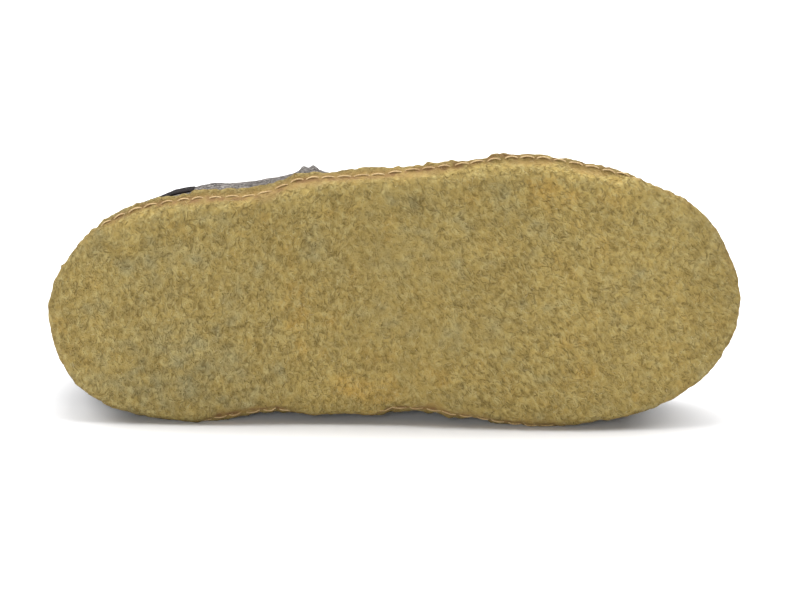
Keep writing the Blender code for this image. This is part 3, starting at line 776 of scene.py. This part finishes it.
# %% Paint the wool
def wool(name, piece, dark, middle, light, grain=1.0, seed=20, sheen=0.06):
    felt = Finish(name, specular=0.25)
    felt.shader.inputs["Sheen Weight"].default_value = sheen
    felt.shader.inputs["Sheen Roughness"].default_value = 0.6
    long_fibres = felt.strands(0.0030 * grain, seed, width=0.05, twist=1.6, stretch=(1.6, 1, 1))
    short_fibres = felt.strands(0.0019 * grain, seed + 1, width=0.06, twist=1.4)
    dark_fibres = felt.strands(0.0024 * grain, seed + 2, width=0.05, twist=1.5, stretch=(1, 1, 1.5))
    knots = felt.noise(0.0013 * grain, seed + 3, detail=2.0)
    heather = felt.noise(0.0060 * grain, seed + 4, detail=3.0, rough=0.65)
    cloud = felt.noise(0.035, seed + 5, detail=1.0)
    colour = felt.mix(middle, dark, heather.ramp(0.50, 0.68) * 0.45 + cloud.ramp(0.45, 0.75) * 0.15)
    colour = felt.mix(colour, dark, dark_fibres * 0.80)
    colour = felt.mix(colour, light, long_fibres * 0.70)
    colour = felt.mix(colour, light, short_fibres * 0.45)
    colour = felt.mix(colour, dark, knots.ramp(0.42, 0.30) * 0.45)
    relief = long_fibres * 0.6 + short_fibres * 0.5 + dark_fibres * 0.3 + knots * 1.3
    felt.paint(colour, 0.95, relief, 0.00030 * grain, piece)


wool(
    "grey_felt", upper, dark=(0.022, 0.019, 0.019), middle=(0.105, 0.094, 0.086), light=(0.38, 0.35, 0.325),
    grain=1.25, sheen=0.02,
)
wool(
    "insole_felt", insole, dark=(0.11, 0.10, 0.09), middle=(0.24, 0.225, 0.20), light=(0.40, 0.38, 0.34), seed=30,
)
wool(
    "dark_felt", patch, dark=(0.004, 0.003, 0.003), middle=(0.010, 0.007, 0.008), light=(0.024, 0.018, 0.019),
    seed=40, sheen=0.0,
)

# %% [markdown]
# ## Thread
# The thread is waxed, a warm tan, a little glossy, and darker where it has been handled.

# %% Paint the thread
thread = Finish("waxed_thread")
worn = thread.noise(0.0050, 51, detail=2.0).ramp(0.35, 0.75)
plies = thread.noise(0.00050, 52, detail=1.0, stretch=(1, 1, 2.5))
colour = thread.mix((0.56, 0.40, 0.19), (0.42, 0.275, 0.115), worn)
colour = thread.mix(colour, (0.24, 0.13, 0.045), plies.ramp(0.50, 0.30) * 0.5)
thread.paint(colour, 0.5, plies, 0.00012, lip_thread)

# %% [markdown]
# ## Loose wool
# Felt is never clean-edged: short fibres stand off it, which softens its outline against a pale ground. They are
# thin tubes again, planted at random on the felt's faces with a fixed seed, leaning well over so that they lie on the
# felt rather than bristle.


# %% Plant fibres
def plant_fibres(name, piece, count, length, radius, seed, keep, lean=1.6):
    """Short curled fibres on random faces of a piece, planted where keep(place) is true."""
    chance = np.random.default_rng(seed)
    mesh = piece.data
    areas = np.array([face.area for face in mesh.polygons])
    chosen = chance.choice(len(areas), size=count * 3, p=areas / areas.sum())
    strands = []
    for index in chosen:
        face = mesh.polygons[index]
        if len(strands) == count:
            break
        if not keep(to_shoe @ face.center):
            continue
        sideways = Vector(chance.normal(size=3)).cross(face.normal).normalized()
        reach = length * float(chance.uniform(0.5, 1.4))
        heading = (face.normal + sideways * lean * float(chance.uniform(0.4, 1.3))).normalized()
        curl = face.normal.cross(heading).normalized() * float(chance.normal(0, 0.35))
        root = face.center - face.normal * radius
        places = [root + (heading * s + (curl - face.normal * 0.35) * s * s) * reach for s in (0.0, 0.35, 0.7, 1.0)]
        if min(place.z for place in places) < 0.0002:
            continue
        strands.append((places, (1.0, 0.9, 0.7, 0.35)))
    fuzz = tubes(name, strands, radius, sides_step=0)
    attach(fuzz, "root")
    return fuzz


grey_fuzz = plant_fibres(
    "grey_wool_fibres", upper, count=6400, length=0.0017, radius=0.000055, seed=61,
    keep=lambda place: place.z > 0.0135,
)
pale_fuzz = plant_fibres(
    "pale_sole_fibres", sole, count=900, length=0.0020, radius=0.000050, seed=62,
    keep=lambda place: place.z < 0.011, lean=4.0,
)

# %% Paint the fibres
wool_hair = Finish("loose_grey_wool")
colour = wool_hair.mix((0.16, 0.15, 0.145), (0.50, 0.48, 0.45), wool_hair.noise(0.0030, 63).ramp(0.35, 0.65))
wool_hair.paint(colour, 0.9, wool_hair.noise(0.0005, 64), 0.00002, grey_fuzz)
sole_hair = Finish("loose_sole_fibres")
colour = sole_hair.mix((0.36, 0.28, 0.12), (0.62, 0.54, 0.30), sole_hair.noise(0.0040, 65).ramp(0.35, 0.65))
sole_hair.paint(colour, 0.7, sole_hair.noise(0.0005, 66), 0.00002, pale_fuzz)

# %% [markdown]
# ## Camera
# The picture was taken from a little over a metre away with a long lens, 18 degrees above the floor and nearly square
# to the sole. The camera looks at the middle of the shoe, rolled by a degree, and the aim is shifted by a few
# millimetres to frame it as the photo does.

# %% Camera
LOOK_AT = Vector((0.0, 0.0, 0.05))
DISTANCE = 1.3
AZIMUTH, ELEVATION, ROLL = (math.radians(angle) for angle in (-1.37, 18.0, 1.34))
FOCAL_PIXELS = 3387.0
AIM_RIGHT, AIM_DOWN = 0.00253, 0.01103

away = Vector((math.sin(AZIMUTH) * math.cos(ELEVATION), -math.cos(AZIMUTH) * math.cos(ELEVATION), math.sin(ELEVATION)))
level = Vector((math.cos(AZIMUTH), math.sin(AZIMUTH), 0.0))
upright = away.cross(level)
right = level * math.cos(ROLL) + upright * math.sin(ROLL)
above = upright * math.cos(ROLL) - level * math.sin(ROLL)
eye = LOOK_AT + away * DISTANCE
back = (eye - (LOOK_AT + right * AIM_RIGHT - above * AIM_DOWN)).normalized()
right = above.cross(back).normalized()
lens = bpy.data.cameras.new("camera")
lens.sensor_fit, lens.sensor_width, lens.lens = "HORIZONTAL", 36.0, 36.0 * FOCAL_PIXELS / 800
camera = bpy.data.objects.new("camera", lens)
camera.matrix_world = Matrix.Translation(eye) @ Matrix((right, back.cross(right), back)).transposed().to_4x4()
bpy.context.scene.collection.objects.link(camera)
bpy.context.scene.camera = camera
print("lens", round(lens.lens, 1), "mm, camera at", [round(c, 3) for c in eye])

# %% [markdown]
# ## Floor and light
# The floor is white and lit brightly by three broad lamps in one plane, overhead and at both sides, which stand a
# little behind the shoe. The sole's shadow then lies only right in front of it, and the sole itself gets its light
# from the floor and from a weak lamp beside the camera.

# %% Floor
bm = bmesh.new()
bmesh.ops.create_grid(bm, x_segments=1, y_segments=1, size=6.0)
ground = bpy.data.meshes.new("floor")
bm.to_mesh(ground)
bm.free()
floor = bpy.data.objects.new("floor", ground)
bpy.context.scene.collection.objects.link(floor)
white = bpy.data.materials.new("white_floor")
white.use_nodes = True
white.node_tree.nodes["Principled BSDF"].inputs["Base Color"].default_value = (0.86, 0.86, 0.865, 1.0)
white.node_tree.nodes["Principled BSDF"].inputs["Roughness"].default_value = 0.9
ground.materials.append(white)
print("floor", [round(side, 1) for side in floor.dimensions], "m")

# %% Light
world = bpy.data.worlds.new("studio")
world.use_nodes = True
world.node_tree.nodes["Background"].inputs["Color"].default_value = (1.0, 1.0, 1.0, 1.0)
world.node_tree.nodes["Background"].inputs["Strength"].default_value = 0.16
bpy.context.scene.world = world


def lamp(name, place, size, power):
    light = bpy.data.lights.new(name, "AREA")
    light.shape, light.size, light.energy = "SQUARE", size, power
    lit = bpy.data.objects.new(name, light)
    lit.location = place
    lit.rotation_euler = (Vector((0, 0, 0.04)) - Vector(place)).to_track_quat("-Z", "Y").to_euler()
    bpy.context.scene.collection.objects.link(lit)
    print(name, "lamp,", size, "m wide,", power, "W")


lamp("overhead", (0.0, 0.5, 1.9), 1.2, 33)
lamp("left", (-1.3, 0.43, 1.6), 1.5, 41)
lamp("right", (1.3, 0.43, 1.6), 1.5, 41)
lamp("front", (-0.6, -1.8, 0.55), 0.9, 15)
bpy.context.scene.view_settings.view_transform = "Standard"
bpy.context.scene.view_settings.look = "None"

# %% [markdown]
# ## Last update
# The view layer is updated once more at the end.

# %% Update the view layer
bpy.context.view_layer.update()
